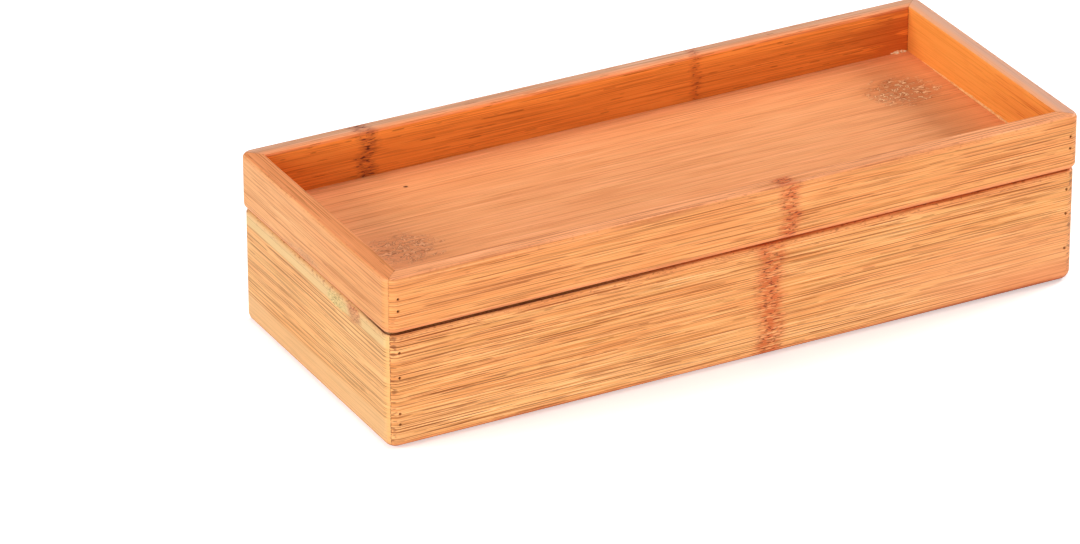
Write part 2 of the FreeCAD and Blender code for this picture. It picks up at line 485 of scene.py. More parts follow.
class MitreJoint(Effect):
    """The thin broken line where two boards meet at 45 degrees, and the nicks beside it."""

    title = "mitre_joint"
    takes = {"X": 0, "Y": 0, "Z": 0, "Lead": 70, "Top": 39}
    gives = ("Line", "Nicks")
    sway = Grit(aside=0.5, upright=0.7, reach=0.5)
    edge, core = 0.35, 0.06  # where the line's soft edge begins and ends, in millimetres
    grit = Grit(aside=1.3, upright=1.6, start=0.42, end=0.56)
    line_least = 0.25  # what is left of the line where it is broken
    fringe_off, fringe_up, fringe = 0.3, 0.55, 2.4  # lumps per millimetre, and how far they reach
    tip, root = -3.0, -1.8  # how far from the joint the nicks fade out, in millimetres
    before, behind = 0.1, -0.1  # how softly they end at the joint
    nick_off, nick_up = 0.22, 1.15  # lumps of the nicks per millimetre
    nick_start, nick_end = 0.53, 0.62  # noise at which a nick begins, and shows in full
    free = 1.0  # how far below Top they begin, in millimetres

    @classmethod
    def wire(cls, w: Wiring, take: Sockets) -> tuple[Socket, ...]:
        """Wire the distance from the mitre's plane, the breaks along it and the nicks.

        Args:
            w: The group's wiring.
            take: The group's inputs.

        Returns:
            The line and the nicks.
        """
        x_size, y_size = (w.size(take[name]) for name in ("X", "Y"))
        off = w.minus(w.minus(x_size, y_size), take["Lead"])
        line = w.ease(w.size(w.plus(off, cls.sway.sway(w, take))), cls.edge, cls.core)
        broken = w.times(line, w.lift(cls.grit.mask(w, take), cls.line_least))
        lumps = w.join(0, w.times(off, cls.fringe_off), w.times(take["Z"], cls.fringe_up))
        fringed = w.plus(off, w.swing(w.noise(lumps), cls.fringe))
        beside = w.times(w.ease(fringed, cls.tip, cls.root), w.ease(off, cls.before, cls.behind))
        grooves = w.join(w.times(off, cls.nick_off), 0, w.times(take["Z"], cls.nick_up))
        nicks = w.ease(w.noise(grooves), cls.nick_start, cls.nick_end)
        below = w.ease(take["Z"], take["Top"], w.minus(take["Top"], cls.free))
        return (broken, w.times(beside, nicks, below))


class ArrisWear(Effect):
    """Nearness to the outer arrises of a box, where hands and sandpaper have rubbed."""

    title = "arris_wear"
    takes = {"X": 0, "Y": 0, "Z": 0, "Half Length": 120, "Half Depth": 50, "Low": 0, "High": 40, "Reach": 3}
    gives = ("Worn", "Crumbs")
    wander = Grit(aside=0.16, upright=0.3, detail=2, reach=2.4)
    crumbs = Grit(aside=0.7, upright=1.9, detail=2, start=0.57, end=0.66)
    bare = 0.3  # how near to an arris the wear is full, in millimetres

    @classmethod
    def wire(cls, w: Wiring, take: Sockets) -> tuple[Socket, ...]:
        """Wire the sum of the two least distances from the box's faces.

        Args:
            w: The group's wiring.
            take: The group's inputs.

        Returns:
            The worn arrises and the crumbs on them.
        """
        from_end = w.minus(take["Half Length"], w.size(take["X"]))
        from_side = w.minus(take["Half Depth"], w.size(take["Y"]))
        from_level = w.math("MINIMUM", w.minus(take["Z"], take["Low"]), w.minus(take["High"], take["Z"]))
        most = w.math("MAXIMUM", w.math("MAXIMUM", from_end, from_side), from_level)
        least_two = w.minus(w.plus(from_end, from_side, from_level), most)
        worn = w.ease(w.plus(least_two, cls.wander.sway(w, take)), take["Reach"], cls.bare)
        return (worn, w.times(worn, cls.crumbs.mask(w, take)))


# Layers of paint

ZONE_ENDS = Streak(seed=3.1, long=30, wide=2.5, detail=2)  # the noise by which the ends of zones wander
NODE_BROWN = srgb(104, 38, 20)  # specks of the two front nodes
JOINT_BROWN = srgb(112, 56, 28)  # mitre lines of the long boards


class Grain(Enum):
    """Which way a board's grain runs, as the turn about Z that lays it along X."""

    ALONG_X = 0.0
    ALONG_Y = -90.0


class Axis(Enum):
    """What a zone is measured along: an axis, or how level the surface lies, from -1 to 1."""

    X = "X"
    Y = "Y"
    Z = "Z"
    LEVEL = "Level"


@dataclass(frozen=True)
class Spot:
    """Where a shaded point lies, as sockets in millimetres, and how level it is."""

    axes: dict[str, Socket]
    level: Socket
    along: Socket
    across: Socket
    seed: float

    def grain(self, seed: float = 0.0) -> dict[str, Feed]:
        """Name what feeds an effect that runs along the grain."""
        return {"Along": self.along, "Across": self.across, "Seed": self.seed + seed}


@dataclass(frozen=True)
class Coat:
    """What has been painted so far."""

    colour: Socket
    dent: Socket

    def over(self, w: Wiring, mask: Feed, share: float, colour: Colour) -> "Coat":
        """Mix a colour in where a mask shows."""
        return Coat(w.mix(w.times(mask, share), self.colour, colour), self.dent)

    def dented(self, w: Wiring, mask: Feed, share: float = 1.0) -> "Coat":
        """Dent the surface where a mask shows."""
        return Coat(self.colour, w.plus(self.dent, w.times(mask, share)))


class Layer(ABC):
    """One thing painted over the plain bamboo."""

    @abstractmethod
    def paint(self, w: Wiring, spot: Spot, coat: Coat) -> Coat:
        """Paint the layer over a coat.

        Args:
            w: The material's wiring.
            spot: Where the shaded point lies.
            coat: What lies under this layer.

        Returns:
            The new coat.
        """


@dataclass(frozen=True)
class Span:
    """A stretch of one axis in millimetres, with soft ends."""

    axis: Axis
    low: float = -FAR
    high: float = FAR
    soft: float = 0.5


def within(w: Wiring, spot: Spot, spans: tuple[Span, ...], ragged: float = 0.0) -> Feed:
    """Where all of some spans hold.

    Args:
        w: The material's wiring.
        spot: Where the shaded point lies.
        spans: The stretches that must all hold.
        ragged: How far their ends wander along the grain.

    Returns:
        The mask, from 0 to 1.
    """
    place = {**spot.grain(), "Seed": 0.0}
    mask: Feed = 1.0
    for span in spans:
        value = spot.level if span.axis is Axis.LEVEL else spot.axes[span.axis.value]
        if ragged:
            value = w.plus(value, w.swing(ZONE_ENDS.noise(w, place), ragged))
        if span.low > -FAR:
            mask = w.times(mask, w.ease(value, span.low - span.soft, span.low + span.soft))
        if span.high < FAR:
            mask = w.times(mask, w.ease(value, span.high + span.soft, span.high - span.soft))
    return mask


@dataclass(frozen=True)
class Zone(Layer):
    """A stretch of the piece that has its own tone."""

    spans: tuple[Span, ...]
    colour: Colour
    share: float
    ragged: float = 0.0

    def paint(self, w: Wiring, spot: Spot, coat: Coat) -> Coat:
        """Mix the zone's colour in where all its spans hold."""
        return coat.over(w, within(w, spot, self.spans, self.ragged), self.share, self.colour)


class Marks(Layer):
    """A layer drawn with one effect, each of its masks in a colour of its own."""

    effect: ClassVar[type[Effect]]
    dented: ClassVar[str] = ""  # the mask that dents the surface, if one does
    dent: ClassVar[float] = 1.0  # how strongly it dents

    @abstractmethod
    def feeds(self, spot: Spot) -> dict[str, Feed]:
        """Name what feeds the effect."""

    @abstractmethod
    def strokes(self) -> tuple[tuple[str, float, Colour], ...]:
        """Name each mask with its share and its colour, in the order of painting."""

    def paint(self, w: Wiring, spot: Spot, coat: Coat) -> Coat:
        """Paint every stroke, then dent the surface where one mask shows.

        Args:
            w: The material's wiring.
            spot: Where the shaded point lies.
            coat: What lies under this layer.

        Returns:
            The new coat.
        """
        masks = self.effect.put(w, self.feeds(spot))
        for name, share, colour in self.strokes():
            coat = coat.over(w, masks[name], share, colour)
        return coat.dented(w, masks[self.dented], self.dent) if self.dented else coat


@dataclass(frozen=True)
class Strands(Layer):
    """Darker fibres that lie closer together in one stretch of the piece."""

    spans: tuple[Span, ...]
    colour: Colour
    share: float
    gap: float = 0.85
    length: float = 14.0
    cover: float = 0.5
    width: float = 0.34
    seed: float = 47.0

    def paint(self, w: Wiring, spot: Spot, coat: Coat) -> Coat:
        """Draw the fibres where all the spans hold.

        Args:
            w: The material's wiring.
            spot: Where the shaded point lies.
            coat: What lies under this layer.

        Returns:
            The new coat.
        """
        feeds = {**spot.grain(self.seed), "Gap": self.gap, "Length": self.length, "Cover": self.cover,
                 "Width": self.width}
        mask = w.times(within(w, spot, self.spans), FibreLines.put(w, feeds)["Mask"])
        return coat.over(w, mask, self.share, self.colour)


@dataclass(frozen=True)
class Ring(Marks):
    """A cane node across the board."""

    effect = BambooNode
    dented = "Specks"
    at: float
    width: float
    blush: Colour
    speck: Colour
    share: float = 0.6
    speck_share: float = 0.8
    seed: float = 0.0

    def feeds(self, spot: Spot) -> dict[str, Feed]:
        """Name what feeds the effect."""
        return {**spot.grain(self.seed), "At": self.at, "Width": self.width}

    def strokes(self) -> tuple[tuple[str, float, Colour], ...]:
        """Blush the ring, then add its specks."""
        return (("Ring", self.share, self.blush), ("Specks", self.speck_share, self.speck))


@dataclass(frozen=True)
class Patch(Marks):
    """A scraped patch or a knot."""

    effect = ScrapedPatch
    dented = "Specks"
    dent = 0.6
    middle: float
    row: float
    long: float
    wide: float
    tone: Colour
    mark: Colour
    dot: Colour
    share: float = 0.3
    mark_share: float = 0.5
    dot_share: float = 0.4
    seed: float = 0.0

    def feeds(self, spot: Spot) -> dict[str, Feed]:
        """Name what feeds the effect."""
        return {**spot.grain(self.seed), "Middle": self.middle, "Row": self.row, "Long": self.long,
                "Wide": self.wide}

    def strokes(self) -> tuple[tuple[str, float, Colour], ...]:
        """Tone the patch, then draw the rims of its curls, the curls and the dots."""
        return (("Patch", self.share, self.tone), ("Rims", self.mark_share, self.dot),
                ("Curls", self.mark_share, self.mark), ("Specks", self.dot_share, self.dot))


@dataclass(frozen=True)
class Mitre(Marks):
    """The joint line at the corners, and the nicks that run from it into long boards."""

    effect = MitreJoint
    dented = "Line"
    dent = 1.5
    colour: Colour
    share: float
    top: float
    lead: float
    nick_share: float

    def feeds(self, spot: Spot) -> dict[str, Feed]:
        """Name what feeds the effect."""
        return {**spot.axes, "Lead": self.lead, "Top": self.top}

    def strokes(self) -> tuple[tuple[str, float, Colour], ...]:
        """Draw the nicks, then the line."""
        return (("Nicks", self.nick_share, self.colour), ("Line", self.share, self.colour))


@dataclass(frozen=True)
class Rubbed(Marks):
    """Rubbed outer arrises of the base or of the lid."""

    effect = ArrisWear
    body: "Assembly"
    tone: Colour
    crumb: Colour
    share: float
    crumb_share: float = 0.5
    reach: float = 3.0

    def feeds(self, spot: Spot) -> dict[str, Feed]:
        """Name what feeds the effect.

        Args:
            spot: Where the shaded point lies.

        Returns:
            The sizes of the box and the place on it.
        """
        box = self.body
        return {**spot.axes, "Half Length": box.half_length, "Half Depth": box.half_depth, "Low": box.low,
                "High": box.high, "Reach": self.reach}

    def strokes(self) -> tuple[tuple[str, float, Colour], ...]:
        """Tone the arrises, then scatter dark crumbs over them."""
        return (("Worn", self.share, self.tone), ("Crumbs", self.crumb_share, self.crumb))


# Finishes


@dataclass(frozen=True)
class Bamboo:
    """Satin lacquered bamboo, with what sets one board apart from the next."""

    name: str
    grain: Grain
    seed: float
    body: Colour
    gold: Colour
    rosy: Colour
    fibre: Colour = srgb(140, 58, 0)
    dash: Colour = srgb(148, 72, 10)
    gold_share: float = 0.35
    rosy_share: float = 0.3
    line_share: float = 0.7
    hair_share: float = 0.45
    dash_share: float = 0.5
    line_cover: float = 0.55
    dash_cover: float = 0.25
    soft_share: float = 0.4
    fine_share: float = 0.95
    tint: tuple[float, float] = (1.6, 2.6)
    roughness: float = 0.46
    fine_rough: float = 0.16
    line_rough: float = 0.12
    fine_relief: float = 0.35
    relief: float = 0.12
    relief_share: float = 0.35
    lacquer: float = 0.1
    lacquer_roughness: float = 0.3
    reflection: float = 0.2
    tones: tuple[Layer, ...] = ()
    layers: tuple[Layer, ...] = ()

    def make(self) -> Material:
        """Make the material.

        Returns:
            The material, wired.
        """
        material, w, shader = new_material(self.name)
        spot = self.spot(w)
        covers = {"Line Cover": self.line_cover, "Dash Cover": self.dash_cover}
        fibres = BambooFibres.put(w, {**spot.grain(), **covers})
        coat = self.ground(w, fibres, spot)
        for layer in self.layers:
            coat = layer.paint(w, spot, coat)
        roughness = w.plus(self.roughness, w.swing(fibres["Fine"], self.fine_rough),
                           w.times(fibres["Lines"], self.line_rough))
        height = w.minus(w.times(fibres["Fine"], self.fine_relief), coat.dent)
        w.fill(shader, {"Base Color": coat.colour, "Roughness": roughness,
                        "Normal": w.bump(height, self.relief_share, self.relief),
                        "Coat Weight": self.lacquer, "Coat Roughness": self.lacquer_roughness,
                        "Specular IOR Level": self.reflection})
        return material

    def spot(self, w: Wiring) -> Spot:
        """Read the shaded point in millimetres, as it is and with the grain laid along X.

        Args:
            w: The material's wiring.

        Returns:
            The spot.
        """
        scale = (1 / MM,) * 3
        x, y, z = w.add("SeparateXYZ", {0: w.place(scale)}).outputs
        along, aside, rise = w.add("SeparateXYZ", {0: w.place(scale, self.grain.value)}).outputs
        level = w.add("SeparateXYZ", {0: w.add("TexCoord", {}).outputs["Normal"]}).outputs[2]
        flat = w.math("GREATER_THAN", w.size(level), FLAT_FROM)
        across = w.plus(w.times(aside, flat), w.times(rise, w.minus(1.0, flat)))
        return Spot({"X": x, "Y": y, "Z": z}, level, along, across, self.seed)

    def ground(self, w: Wiring, fibres: Sockets, spot: Spot) -> Coat:
        """Paint the bamboo itself: its tones, and over them streaks, hairs, lines and dashes.

        Args:
            w: The material's wiring.
            fibres: The outputs of the fibre group.
            spot: Where the shaded point lies.

        Returns:
            The first coat.
        """
        colour = w.mix(w.times(fibres["Zone"], self.rosy_share), self.body, self.rosy)
        colour = w.mix(w.times(fibres["Gold"], self.gold_share), colour, self.gold)
        coat = Coat(colour, w.plus(fibres["Lines"], fibres["Dashes"]))
        for tone in self.tones:
            coat = tone.paint(w, spot, coat)
        shade = w.plus(w.swing(fibres["Fine"], self.fine_share),
                       w.swing(fibres["Soft"], self.soft_share), 1.0)
        green, blue = (w.math("POWER", shade, power) for power in self.tint)
        tint = w.add("CombineColor", {0: shade, 1: green, 2: blue}).outputs[0]
        colour = w.mix(1.0, coat.colour, tint, "MULTIPLY")
        colour = w.mix(w.times(fibres["Hairs"], self.hair_share), colour, self.fibre)
        colour = w.mix(w.times(fibres["Lines"], self.line_share), colour, self.fibre)
        return Coat(w.mix(w.times(fibres["Dashes"], self.dash_share), colour, self.dash), coat.dent)


@dataclass(frozen=True)
class DullSteel:
    """Darkened steel of the brads, with fine marks along and across the pin."""

    name: str = "dull_steel"
    metal: Colour = srgb(92, 70, 56)
    tarnish: Colour = srgb(50, 30, 22)
    roughness: float = 0.38
    marks: tuple[float, float, float] = (3200.0, 900.0, 3200.0)
    stains: tuple[float, float, float] = (700.0,) * 3
    bright: float = 0.4  # noise at which a stain begins, and is full
    stained: float = 0.62
    marks_rough: float = 0.3
    stains_rough: float = 0.15
    relief: float = 0.03
    relief_share: float = 0.3
    detail: float = 2.0

    def make(self) -> Material:
        """Make the material.

        Returns:
            The material, wired.
        """
        material, w, shader = new_material(self.name)
        marks = w.noise(w.place(self.marks), self.detail)
        stain = w.ease(w.noise(w.place(self.stains), self.detail), self.bright, self.stained)
        rough = w.plus(self.roughness, w.times(marks, self.marks_rough), w.times(stain, self.stains_rough))
        w.fill(shader, {"Base Color": w.mix(stain, self.metal, self.tarnish), "Roughness": rough,
                        "Normal": w.bump(marks, self.relief_share, self.relief), "Metallic": 1.0})
        return material


@dataclass(frozen=True)
class DriedGlue:
    """Hard pale glue, cloudy where it is thick."""

    name: str = "dried_glue"
    clear: Colour = srgb(236, 176, 112)
    cloudy: Colour = srgb(250, 222, 178)
    gloss: float = 0.4
    gloss_roughness: float = 0.15
    roughness: float = 0.22
    clouds: tuple[float, float, float] = (900.0,) * 3
    pores: tuple[float, float, float] = (3500.0,) * 3
    thin: float = 0.36  # noise at which a cloud begins, and is full
    thick: float = 0.6
    pores_rough: float = 0.25
    pores_relief: float = 0.5
    relief: float = 0.1
    relief_share: float = 0.3
    detail: float = 2.0

    def make(self) -> Material:
        """Make the material.

        Returns:
            The material, wired.
        """
        material, w, shader = new_material(self.name)
        cloud = w.ease(w.noise(w.place(self.clouds), self.detail), self.thin, self.thick)
        pores = w.noise(w.place(self.pores), self.detail)
        height = w.plus(cloud, w.times(pores, self.pores_relief))
        w.fill(shader, {"Base Color": w.mix(cloud, self.clear, self.cloudy),
                        "Roughness": w.plus(self.roughness, w.times(pores, self.pores_rough)),
                        "Normal": w.bump(height, self.relief_share, self.relief),
                        "Coat Weight": self.gloss, "Coat Roughness": self.gloss_roughness})
        return material


def coat_node(name: str, material: Material) -> None:
    """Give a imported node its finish.

    Args:
        name: The node.
        material: Its finish.
    """
    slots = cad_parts[name].data.materials
    slots.clear()
    slots.append(material)
    LOG.info("%s wears %s", name, material.name)


# Sub-assemblies


def extent(name: str) -> tuple[Vector, Vector]:
    """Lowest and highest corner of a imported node, in millimetres."""
    low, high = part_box(name)
    return Vector(low) / MM, Vector(high) / MM


@dataclass(frozen=True)
class Assembly(ABC):
    """A sub-assembly of boards and brads, dressed piece by piece. Millimetres."""

    half_length: float
    half_depth: float
    low: float
    high: float
    wall: float
    prefix: ClassVar[str]
    part: ClassVar[str]
    bare: ClassVar[float] = 2.2  # width of the strips beside a mitre that have their own tone

    @classmethod
    def measured(cls, **more: float) -> Self:
        """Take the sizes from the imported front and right-hand pieces.

        Args:
            **more: The sizes that only this sub-assembly has.

        Returns:
            The sub-assembly.
        """
        low, high = extent(f"{cls.prefix}_front_{cls.part}")
        end = extent(f"{cls.prefix}_right_{cls.part}")[1].x
        return cls(end, -low.y, low.z, high.z, high.y - low.y, **more)

    @abstractmethod
    def finishes(self) -> dict[str, Bamboo]:
        """Name the finish of each piece of bamboo."""

    def dress(self, steel: Material) -> None:
        """Give every piece its finish.

        Args:
            steel: The brads' finish.
        """
        for name, finish in self.finishes().items():
            coat_node(f"{self.prefix}_{name}", finish.make())
        for corner in ("front_left", "front_right", "back_left", "back_right"):
            coat_node(f"{self.prefix}_brads_{corner}", steel)

    def front(self) -> Span:
        """The front, faded out round the corners."""
        return Span(Axis.Y, high=-self.half_depth * 0.7, soft=self.half_depth * 0.2)

    def left_part(self) -> Span:
        """The left part, faded out past the middle."""
        return Span(Axis.X, high=-self.half_length / 4, soft=self.half_length / 3)

    def right_part(self) -> Span:
        """The rest of the length, faded in where the left part fades out."""
        return Span(Axis.X, low=-self.half_length / 4, soft=self.half_length / 3)

    def mitre(self, colour: Colour, share: float, top: float, nick_share: float) -> Mitre:
        """The joint line at the four corners."""
        return Mitre(colour, share, top, self.half_length - self.half_depth, nick_share)


@dataclass(frozen=True)
class Base(Assembly):
    """The open box: four boards, a bottom panel, two dividers and the brads. Millimetres."""

    prefix: ClassVar[str] = "base"
    part: ClassVar[str] = "board"

    def foot(self) -> tuple[Layer, ...]:
        """The rounded foot, redder towards the bottom and dark along its lowest edge: painted shade where
        the box stands on the table.

        Returns:
            The layers.
        """
        right = Span(Axis.X, low=self.half_length / 2, soft=30.0)
        # painted shade along the foot, darkest at its lowest edge and at the right end
        return (Zone((Span(Axis.Z, high=1.8, soft=1.4),), srgb(230, 112, 54), 0.4),
                Zone((Span(Axis.Z, high=1.0, soft=0.5),), srgb(150, 50, 24), 0.5, ragged=2.6),
                Zone((Span(Axis.Z, high=2.2, soft=0.5), right), srgb(140, 50, 24), 0.6, ragged=2.4))

    def seam_shade(self) -> Zone:
        """Painted shade: the dark line under the lid, along the left part of the front."""
        edge = (Span(Axis.Z, low=self.high - 0.2, soft=0.1), Span(Axis.LEVEL, high=0.98, soft=0.02))
        return Zone((*edge, self.left_part(), self.front()), srgb(92, 0, 0), 0.92)

    def edges(self, share: float, mitre: Colour, nick_share: float = 0.0) -> tuple[Layer, ...]:
        """What all four boards have at their outer edges.

        Args:
            share: How strongly the arrises are worn.
            mitre: Colour of the joint line and its nicks.
            nick_share: How strongly the nicks beside the joint show.

        Returns:
            The layers.
        """
        rubbed = Rubbed(self, srgb(238, 140, 84), srgb(150, 60, 34), share)
        return (*self.foot(), rubbed, self.seam_shade(), self.mitre(mitre, 0.75, self.high, nick_share))

    def front_board(self) -> Bamboo:
        """Front board, with a strong node right of its middle.

        Returns:
            The finish.
        """
        node = Ring(at=10.4, width=8.8, blush=srgb(208, 90, 40), speck=NODE_BROWN,
                    share=0.78, speck_share=0.9)
        # low_strip: painted light, lightening the lower part of the front where the table shades it
        low_strip = Zone((Span(Axis.Z, high=11.0, soft=6.0),), srgb(255, 188, 120), 0.85)
        dark_end = Strands((Span(Axis.X, high=-self.half_length / 6, soft=self.half_length / 3),),
                           srgb(120, 54, 4), 0.85, gap=0.7, length=26.0, cover=0.42, width=0.28)
        plain_end = Zone((Span(Axis.X, low=self.half_length * 0.45, soft=30.0),
                          Span(Axis.Z, high=21.0, soft=7.0)), srgb(240, 162, 108), 0.45, ragged=6.0)
        blush_end = Zone((Span(Axis.X, low=self.half_length * 0.7, soft=25.0),
                          Span(Axis.Z, high=8.0, soft=3.0)), srgb(226, 136, 86), 0.6, ragged=3.0)
        return Bamboo("bamboo_base_front", Grain.ALONG_X, 1.0, srgb(244, 166, 98), srgb(236, 182, 112),
                      srgb(244, 154, 86), dash_cover=0.3, line_share=0.9, fine_share=1.3, soft_share=0.12,
                      gold_share=0.35, tones=(low_strip,),
                      layers=(dark_end, plain_end, blush_end, node, *self.edges(0.35, JOINT_BROWN, 0.6)))

    def back_board(self) -> Bamboo:
        """Back board, with a node left of its middle.

        Returns:
            The finish.
        """
        node = Ring(at=-34.0, width=7.0, blush=srgb(206, 100, 52), speck=srgb(118, 48, 26))
        return Bamboo("bamboo_base_back", Grain.ALONG_X, 2.0, srgb(244, 168, 102), srgb(234, 174, 100),
                      srgb(244, 154, 90), layers=(node, *self.edges(0.35, JOINT_BROWN, 0.6)))

    def left_board(self) -> Bamboo:
        """Left board, of paler strips, with a knot under the seam.

        Returns:
            The finish.
        """
        seam = self.high
        outside = Span(Axis.X, high=self.wall / 4 - self.half_length, soft=0.2)
        top_strip = Zone((Span(Axis.Z, low=seam - 4.6, soft=0.5), outside), srgb(228, 193, 134), 0.85,
                         ragged=0.9)
        top_line = Zone((Span(Axis.Z, low=seam - 2.0, high=seam - 1.8, soft=0.12), outside),
                        srgb(150, 112, 60), 0.5, ragged=0.5)
        low_strip = Zone((Span(Axis.Z, high=9.5, soft=0.9),), srgb(233, 184, 128), 0.75, ragged=1.6)
        back_strip = Zone((Span(Axis.Y, low=self.half_depth - self.bare, soft=0.4),
                           Span(Axis.Z, low=8.0, high=seam - 4.0, soft=1.5)), srgb(248, 148, 98), 0.7)
        bare = Zone((Span(Axis.Y, high=self.bare - self.half_depth, soft=0.5),), srgb(240, 180, 112), 0.7,
                    ragged=0.6)
        front_half = Zone((Span(Axis.Y, high=-8.0, soft=24.0),), srgb(250, 206, 146), 0.24)
        knot = Patch(middle=-27.0, row=seam - 2.4, long=5.0, wide=4.6,
                     tone=srgb(204, 130, 80), mark=srgb(232, 172, 116), dot=srgb(140, 58, 16),
                     share=0.7, mark_share=0.6, dot_share=0.55)
        smear = Patch(middle=-15.0, row=seam - 2.6, long=8.0, wide=3.2,
                      tone=srgb(222, 198, 128), mark=srgb(236, 214, 150), dot=srgb(132, 96, 30),
                      share=0.5, mark_share=0.5, dot_share=0.5, seed=3.0)
        return Bamboo("bamboo_base_left", Grain.ALONG_Y, 3.0, srgb(240, 177, 111), srgb(237, 189, 122),
                      srgb(236, 160, 97), fibre=srgb(136, 74, 12), line_cover=0.72, dash_cover=0.12,
                      soft_share=0.2, fine_share=0.45, tones=(front_half,),
                      layers=(low_strip, top_strip, top_line, back_strip, smear, knot, bare,
                              *self.edges(0.2, srgb(120, 80, 42))))

    def right_board(self) -> Bamboo:
        """Right board, plain."""
        return Bamboo("bamboo_base_right", Grain.ALONG_Y, 4.0, srgb(242, 172, 106), srgb(236, 182, 112),
                      srgb(240, 158, 94), layers=self.edges(0.35, srgb(116, 74, 40)))

    def bottom_panel(self) -> Bamboo:
        """Bottom panel, smoother, with two nodes.

        Returns:
            The finish.
        """
        nodes = tuple(Ring(at=at, width=6.0, blush=srgb(212, 112, 62), speck=srgb(128, 60, 34),
                           share=0.5, speck_share=0.5, seed=seed)
                      for at, seed in ((-62.0, 0.0), (71.0, 6.0)))
        return Bamboo("bamboo_bottom", Grain.ALONG_X, 5.0, srgb(240, 166, 108), srgb(238, 178, 116),
                      srgb(240, 154, 98), line_cover=0.4, dash_cover=0.15, layers=nodes)

    def divider(self, number: int) -> Bamboo:
        """A divider, one of two that differ in their streaks."""
        return Bamboo(f"bamboo_divider_{number}", Grain.ALONG_Y, 6.0 + number, srgb(243, 174, 114),
                      srgb(238, 184, 122), srgb(240, 160, 102), line_cover=0.45)

    def finishes(self) -> dict[str, Bamboo]:
        """Name the finish of each board, panel and divider.

        Returns:
            The finishes, by the name of the piece.
        """
        return {"front_board": self.front_board(), "back_board": self.back_board(),
                "left_board": self.left_board(), "right_board": self.right_board(),
                "bottom_panel": self.bottom_panel(), "divider_1": self.divider(1),
                "divider_2": self.divider(2)}


